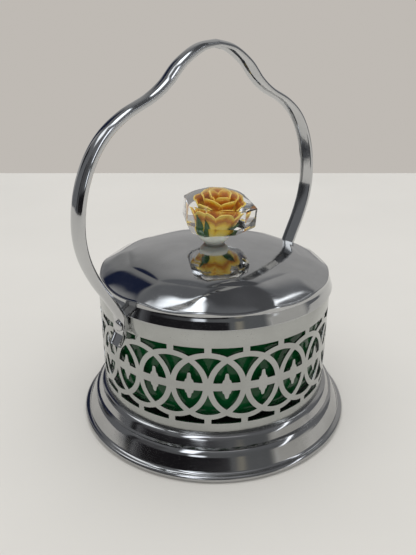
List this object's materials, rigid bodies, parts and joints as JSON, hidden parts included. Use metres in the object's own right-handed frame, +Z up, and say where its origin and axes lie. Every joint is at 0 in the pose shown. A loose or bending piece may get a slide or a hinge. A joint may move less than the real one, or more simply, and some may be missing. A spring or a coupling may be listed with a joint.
{
  "type": "preserve pot",
  "caption": "Round preserve pot: pierced chrome stand, green glass liner, panelled lift-off lid with a clear faceted knob, and a swinging bell-shaped bail.",
  "frame": {"origin": "centre of the foot's underside, on the table", "axes": "+Z up, +X through the bail's two pivots, +Y square to the bail when it stands upright"},
  "size_m": [0.1416, 0.125, 0.1625],
  "materials": {
    "chrome_foot": "polished plating over pressed sheet",
    "chrome_gallery": "polished plating on stamped openwork",
    "chrome_plate": "dull plating inside",
    "chrome_rivet": "polished",
    "chrome_lid": "polished plating over pressed sheet",
    "chrome_bail": "polished",
    "green_glass": "deep green pressed glass",
    "pearl_plastic": "pearly white",
    "clear_acrylic": "clear acrylic, polished facets",
    "brass_insert": "turned",
    "steel_screw": "zinc-plated",
    "yellow_petal": "painted carving",
    "rose_bud": "painted carving",
    "green_leaf": "painted carving"
  },
  "bodies": {
    "stand": {"foot_ring": "chrome_foot", "gallery": "chrome_gallery", "floor_plate": "chrome_plate", "handle_rivets": "chrome_rivet", "pivot_washers": "chrome_rivet", "rivet_washers": "chrome_rivet"},
    "liner": {"liner": "green_glass"},
    "lid": {"lid_shell": "chrome_lid", "knob_base": "pearl_plastic", "knob_block": "clear_acrylic", "knob_insert": "brass_insert", "knob_screw": "steel_screw", "knob_washer": "steel_screw", "rose_outer_petals": "yellow_petal", "rose_inner_petals": "yellow_petal", "rose_heart": "rose_bud", "rose_leaves": "green_leaf"},
    "handle": {"handle": "chrome_bail"}
  },
  "joints": [
    {"name": "liner_lift", "type": "slide", "parent": "stand", "child": "liner", "axis": [0, 0, 1], "range_m": [0, 0.045]},
    {"name": "lid_lift", "type": "slide", "parent": "liner", "child": "lid", "axis": [0, 0, 1], "range_m": [0, 0.045]},
    {"name": "handle_swing", "type": "hinge", "parent": "stand", "child": "handle", "pos_m": [0, 0, 0.0581], "axis": [1, 0, 0], "range_deg": [-120, 120]}
  ]
}
